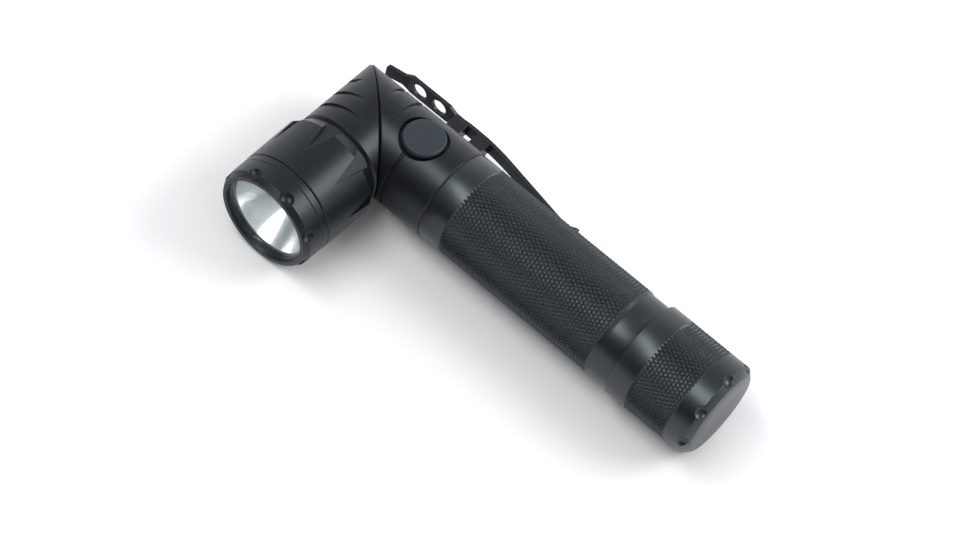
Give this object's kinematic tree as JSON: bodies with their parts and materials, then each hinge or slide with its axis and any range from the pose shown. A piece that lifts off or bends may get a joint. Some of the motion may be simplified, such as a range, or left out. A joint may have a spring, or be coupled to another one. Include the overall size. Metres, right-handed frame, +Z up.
{
  "type": "right-angle flashlight",
  "caption": "Black anodised right-angle hand torch: a knurled tube for one round cell, a head that swivels on a 45 degree joint, a side button and a pocket clip.",
  "frame": {"origin": "under the middle of the box around the whole light, on the surface it lies on", "axes": "+X along the handle towards the tail cap, +Y towards the clip side with the beam leaving towards -Y, +Z up out of the button"},
  "size_m": [0.1298, 0.06, 0.0292],
  "materials": {
    "anodised_aluminium": "satin black hard anodising",
    "spring_steel_black": "blackened spring steel",
    "steel": "turned stainless steel",
    "brass": "bright gold flash over brass",
    "button_rubber": "matte dark grey silicone",
    "seal_rubber": "black nitrile",
    "circuit_board": "solder mask over glass fibre",
    "black_plastic": "moulded nylon",
    "white_plastic": "white moulded centring ring",
    "cell_wrap": "shrink wrap over a steel can",
    "glass": "clear coated mineral glass",
    "reflector_metal": "polished aluminium bowl",
    "led_phosphor": "white ceramic package with phosphor",
    "led_silicone": "clear silicone dome"
  },
  "bodies": {
    "handle": {"handle_elbow": "anodised_aluminium", "tube_front_seal": "seal_rubber", "tube_rear_seal": "seal_rubber", "battery_tube": "anodised_aluminium", "battery_cell": "cell_wrap", "battery_terminal": "brass", "front_contact_board": "circuit_board", "contact_ring": "brass", "front_contact_spring": "brass", "swivel_washer": "steel", "detent_ball": "steel", "detent_spring": "steel", "contact_plunger": "brass", "contact_spring": "brass", "switch_carrier": "black_plastic", "switch_board": "circuit_board", "switch_body": "black_plastic", "clip": "spring_steel_black", "clip_saddle": "spring_steel_black", "clip_screws": "spring_steel_black"},
    "head": {"head_elbow": "anodised_aluminium", "swivel_hub": "steel", "swivel_nut": "steel", "swivel_seal": "seal_rubber", "stop_pin": "steel", "contact_cup": "black_plastic", "contact_disc": "brass", "neck_seal": "seal_rubber", "driver_board": "circuit_board", "driver_ring": "brass", "head_body": "anodised_aluminium", "bezel_ring": "anodised_aluminium", "bezel_seal": "seal_rubber", "lens": "glass", "lens_seal": "seal_rubber", "reflector": "reflector_metal", "led_board": "circuit_board", "led_package": "led_phosphor", "led_dome": "led_silicone", "led_spacer": "white_plastic"},
    "button": {"button_cap": "button_rubber", "button_ring": "steel", "button_seal": "seal_rubber", "switch_plunger": "black_plastic"},
    "tail_contact": {"tail_spring": "brass", "tail_board": "circuit_board"},
    "tail_cap": {"tail_cap": "anodised_aluminium", "tail_ring": "brass"}
  },
  "joints": [
    {"name": "head_swivel", "type": "hinge", "parent": "handle", "child": "head", "pos_m": [-0.0503, 0.01082, 0.0146], "axis": [-0.7071, -0.7071, 0], "range_deg": [0, 180]},
    {"name": "button_press", "type": "slide", "parent": "handle", "child": "button", "axis": [0, 0, -1], "range_m": [0, 0.0008], "stiffness_N_per_m": 1500, "springref_m": -0.001},
    {"name": "tail_slide", "type": "slide", "parent": "handle", "child": "tail_contact", "axis": [1, 0, 0], "range_m": [0, 0.00751]},
    {"name": "tail_turn", "type": "hinge", "parent": "tail_contact", "child": "tail_cap", "pos_m": [0.0391, 0.01082, 0.0146], "axis": [1, 0, 0], "range_deg": [0, 1800]}
  ],
  "couplings": [
    {"joint": "tail_slide", "follows": "tail_turn", "m_per_rad": 0.00023873}
  ]
}
